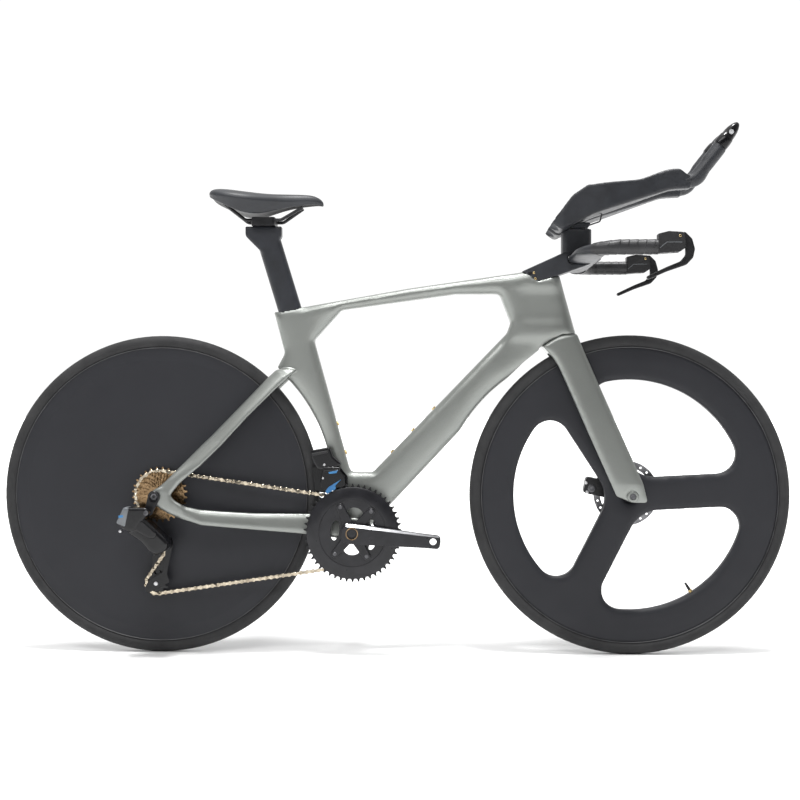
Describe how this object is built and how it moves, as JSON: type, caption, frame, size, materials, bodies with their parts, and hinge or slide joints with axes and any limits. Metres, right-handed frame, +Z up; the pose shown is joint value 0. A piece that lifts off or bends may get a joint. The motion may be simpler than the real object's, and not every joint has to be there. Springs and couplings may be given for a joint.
{
  "type": "time trial bicycle",
  "caption": "Time trial bicycle with an aero frame, solid rear disc wheel, three-spoke front wheel, aero bars with forearm cups, disc brakes and a chain drive.",
  "frame": {"origin": "on the ground, midway between the wheel axles, in the middle plane of the bicycle", "axes": "+X forward, +Y to the rider's left, +Z up"},
  "size_m": [1.6759, 0.4266, 1.1181],
  "materials": {
    "frame_paint": "silver grey metallic paint over carbon",
    "carbon_skin": "satin dark carbon",
    "tyre_rubber": "smooth tread",
    "black_alloy": "black anodised",
    "gold_steel": "pale gold coating",
    "bright_steel": "brushed",
    "brass_screw": "brass-coloured bolts",
    "black_plastic": "satin",
    "button_grey": "grey",
    "saddle_leather": "smooth black cover",
    "pad_fabric": "foam with black fabric"
  },
  "bodies": {
    "frame": {"main_frame": "frame_paint", "bottle_bolts": "bright_steel", "chain_stay_right": "frame_paint", "chain_stay_left": "frame_paint", "seat_stay_right": "frame_paint", "seat_stay_left": "frame_paint", "headset_bearings": "bright_steel", "bottom_bracket_bearings": "bright_steel", "rear_axle": "bright_steel", "seat_wedge": "bright_steel", "derailleur_hanger": "black_alloy", "derailleur_mount": "black_alloy", "derailleur_motor": "black_alloy", "derailleur_knuckle": "black_alloy", "front_derailleur_body": "black_alloy", "rear_caliper": "black_alloy", "chain_main_run": "gold_steel"},
    "steering": {"fork": "frame_paint", "front_axle": "bright_steel", "front_caliper": "black_alloy", "stem": "carbon_skin", "base_bar": "carbon_skin", "riser": "carbon_skin", "cockpit_bolts": "brass_screw", "extensions": "carbon_skin", "arm_pads": "pad_fabric", "shifter_pods": "black_plastic", "lever_pods": "black_plastic", "shift_wire": "black_plastic"},
    "front_wheel": {"front_wheel": "carbon_skin", "front_tyre": "tyre_rubber", "front_hub": "black_alloy", "front_valve": "black_alloy", "front_rotor": "bright_steel"},
    "rear_wheel": {"rear_disc": "carbon_skin", "rear_tyre": "tyre_rubber", "rear_hub": "black_alloy", "rear_rotor": "bright_steel"},
    "cassette": {"cassette": "gold_steel", "freehub_body": "bright_steel"},
    "crankset": {"crank_arm_right": "black_alloy", "crank_arm_left": "black_alloy", "crank_cap": "black_alloy", "chainring_outer": "black_alloy", "chainring_inner": "black_alloy", "chainring_bolts": "bright_steel"},
    "derailleur_cage": {"derailleur_cage": "black_alloy", "chain_cage_run": "gold_steel"},
    "guide_pulley": {"guide_pulley": "black_plastic"},
    "tension_pulley": {"tension_pulley": "black_plastic"},
    "front_derailleur_cage": {"front_derailleur_cage": "black_alloy"},
    "brake_lever_left": {"brake_lever_left": "black_plastic"},
    "brake_lever_right": {"brake_lever_right": "black_plastic"},
    "shift_button_left": {"shift_button_left": "button_grey"},
    "shift_button_right": {"shift_button_right": "button_grey"},
    "seat_post": {"seat_post": "carbon_skin", "rail_clamp": "black_alloy"},
    "saddle": {"saddle_rails": "bright_steel", "saddle_cover": "saddle_leather", "saddle_shell": "black_plastic"}
  },
  "joints": [
    {"name": "steering", "type": "hinge", "parent": "frame", "child": "steering", "pos_m": [0.45275, 0, 0.32617], "axis": [-0.2672, 0, 0.9636], "range_deg": [-45, 45]},
    {"name": "front_wheel_spin", "type": "hinge", "parent": "steering", "child": "front_wheel", "pos_m": [0.499, 0, 0.339], "axis": [0, 1, 0], "continuous": true},
    {"name": "rear_wheel_spin", "type": "hinge", "parent": "frame", "child": "rear_wheel", "pos_m": [-0.499, 0, 0.339], "axis": [0, 1, 0], "continuous": true},
    {"name": "crank_spin", "type": "hinge", "parent": "frame", "child": "crankset", "pos_m": [-0.08631, 0, 0.261], "axis": [0, 1, 0], "continuous": true, "deforming": ["chain_main_run", "chain_cage_run"]},
    {"name": "cassette_spin", "type": "hinge", "parent": "frame", "child": "cassette", "pos_m": [-0.499, 0, 0.339], "axis": [0, 1, 0], "continuous": true},
    {"name": "cage_swing", "type": "hinge", "parent": "frame", "child": "derailleur_cage", "pos_m": [-0.488, 0, 0.229], "axis": [0, 1, 0], "range_deg": [-15, 20], "stiffness_Nm_per_rad": 1},
    {"name": "guide_pulley_spin", "type": "hinge", "parent": "derailleur_cage", "child": "guide_pulley", "pos_m": [-0.502, 0, 0.233], "axis": [0, 1, 0], "continuous": true},
    {"name": "tension_pulley_spin", "type": "hinge", "parent": "derailleur_cage", "child": "tension_pulley", "pos_m": [-0.50487, 0, 0.15085], "axis": [0, 1, 0], "continuous": true},
    {"name": "front_derailleur_trim", "type": "slide", "parent": "frame", "child": "front_derailleur_cage", "axis": [0, -1, 0], "range_m": [-0.001, 0.001]},
    {"name": "brake_pull_left", "type": "hinge", "parent": "steering", "child": "brake_lever_left", "pos_m": [0.57105, 0.2, 0.86301], "axis": [0, 1, 0], "range_deg": [0, 20], "stiffness_Nm_per_rad": 0.6, "springref_deg": -11.46},
    {"name": "brake_pull_right", "type": "hinge", "parent": "steering", "child": "brake_lever_right", "pos_m": [0.57105, -0.2, 0.86301], "axis": [0, 1, 0], "range_deg": [0, 20], "stiffness_Nm_per_rad": 0.6, "springref_deg": -11.46},
    {"name": "shift_press_left", "type": "slide", "parent": "steering", "child": "shift_button_left", "axis": [0, -1, 0], "range_m": [0, 0.0015], "stiffness_N_per_m": 300, "springref_m": -0.001},
    {"name": "shift_press_right", "type": "slide", "parent": "steering", "child": "shift_button_right", "axis": [0, 1, 0], "range_m": [0, 0.0015], "stiffness_N_per_m": 300, "springref_m": -0.001},
    {"name": "seat_height", "type": "slide", "parent": "frame", "child": "seat_post", "axis": [-0.2924, 0, 0.9563], "range_m": [-0.04, 0.02]},
    {"name": "saddle_reach", "type": "slide", "parent": "seat_post", "child": "saddle", "axis": [1, 0, 0], "range_m": [-0.008, 0.008]}
  ],
  "couplings": [
    {"joint": "cassette_spin", "follows": "crank_spin", "ratio": 1.36},
    {"joint": "guide_pulley_spin", "follows": "crank_spin", "ratio": -3.0909},
    {"joint": "tension_pulley_spin", "follows": "crank_spin", "ratio": 3.0909}
  ]
}
